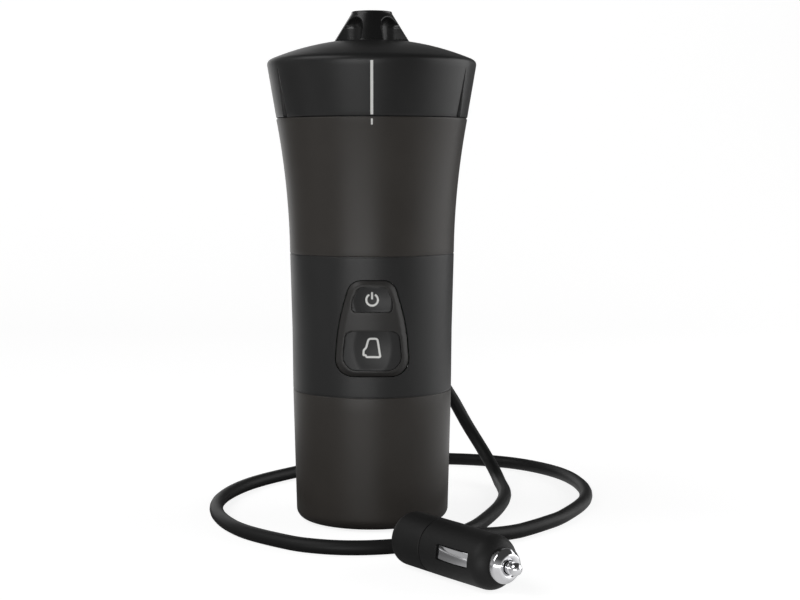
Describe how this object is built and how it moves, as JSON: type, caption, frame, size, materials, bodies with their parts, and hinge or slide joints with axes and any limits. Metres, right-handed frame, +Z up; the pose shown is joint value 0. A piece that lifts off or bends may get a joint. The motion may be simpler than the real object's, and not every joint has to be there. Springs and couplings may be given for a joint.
{
  "type": "car coffee maker",
  "caption": "Tapered car coffee maker with a domed twist lid, fluted pouring spout, key panel, pod basket over a heated water tank, and a cord with a car power plug.",
  "frame": {"origin": "centre of the base, on the floor", "axes": "+Z up along the body, the front with the buttons faces -Y"},
  "size_m": [0.1747, 0.2672, 0.22],
  "materials": {
    "shell": "satin",
    "band": "satin",
    "bezel": "satin",
    "key": "satin",
    "rubber": "matt",
    "steel": "brushed",
    "inner": "matt",
    "shield": "matt",
    "board": "satin",
    "parts": "satin",
    "silicone": "matt",
    "tank": "brushed",
    "heater": "cast",
    "brass": "satin",
    "seal": "matt",
    "neck": "satin",
    "paper": "matt",
    "lid": "satin",
    "gloss": "polished",
    "cordskin": "matt",
    "plug": "satin",
    "chrome": "polished",
    "fuse": "polished"
  },
  "bodies": {
    "housing": {"lower_shell": "shell", "upper_shell": "shell", "middle_band": "band", "control_bezel": "bezel", "foot_pad": "rubber", "base_screws": "steel", "chassis": "inner", "chassis_screws": "steel", "heat_shield": "shield", "control_board": "board", "board_parts": "parts", "board_screws": "steel", "pump_cradle": "inner", "pump_motor": "steel", "pump_head": "inner", "air_tube_low": "silicone", "air_tube_high": "silicone", "check_valve": "inner", "water_tank": "tank", "heater_plate": "heater", "thermostat": "inner", "thermal_fuse": "brass", "tank_seal": "seal", "neck_collar": "neck", "collar_ribs": "neck", "collar_screws": "steel", "cord_gland": "rubber", "cord": "cordskin", "plug_rear_cap": "plug", "plug_body": "plug", "plug_ring": "chrome"},
    "lid_plate": {"pressure_plate": "neck", "brew_filter": "tank", "lid_gasket": "seal"},
    "lid": {"lid_shell": "lid", "lid_liner": "neck", "spout": "gloss"},
    "basket": {"pod_basket": "tank", "coffee_pod": "paper"},
    "power_key": {"power_button": "key"},
    "brew_key": {"brew_button": "key"},
    "tip": {"plug_tip": "chrome", "plug_fuse": "fuse"},
    "contact_near": {"plug_contact_near": "chrome"},
    "contact_far": {"plug_contact_far": "chrome"}
  },
  "joints": [
    {"name": "lid_lift", "type": "slide", "parent": "housing", "child": "lid_plate", "axis": [0, 0, 1], "range_m": [0, 0.048]},
    {"name": "lid_turn", "type": "hinge", "parent": "lid_plate", "child": "lid", "pos_m": [0, 0, 0.19], "axis": [0, 0, 1], "range_deg": [0, 720]},
    {"name": "basket_lift", "type": "slide", "parent": "housing", "child": "basket", "axis": [0, 0, 1], "range_m": [0, 0.024]},
    {"name": "power_press", "type": "slide", "parent": "housing", "child": "power_key", "axis": [0, 1, 0], "range_m": [0, 0.0009], "stiffness_N_per_m": 900},
    {"name": "brew_press", "type": "slide", "parent": "housing", "child": "brew_key", "axis": [0, 1, 0], "range_m": [0, 0.0009], "stiffness_N_per_m": 900},
    {"name": "plug_tip_press", "type": "slide", "parent": "housing", "child": "tip", "axis": [-0.5764, 0.8171, 0], "range_m": [0, 0.003], "stiffness_N_per_m": 1500},
    {"name": "contact_near_press", "type": "slide", "parent": "housing", "child": "contact_near", "axis": [0.8096, 0.5711, -0.1357], "range_m": [0, 0.001], "stiffness_N_per_m": 1500},
    {"name": "contact_far_press", "type": "slide", "parent": "housing", "child": "contact_far", "axis": [-0.8096, -0.5711, 0.1357], "range_m": [0, 0.001], "stiffness_N_per_m": 1500}
  ],
  "couplings": [
    {"joint": "lid_turn", "follows": "lid_lift", "rad_per_m": 261.79},
    {"joint": "basket_lift", "follows": "lid_lift", "ratio": 0.5}
  ]
}
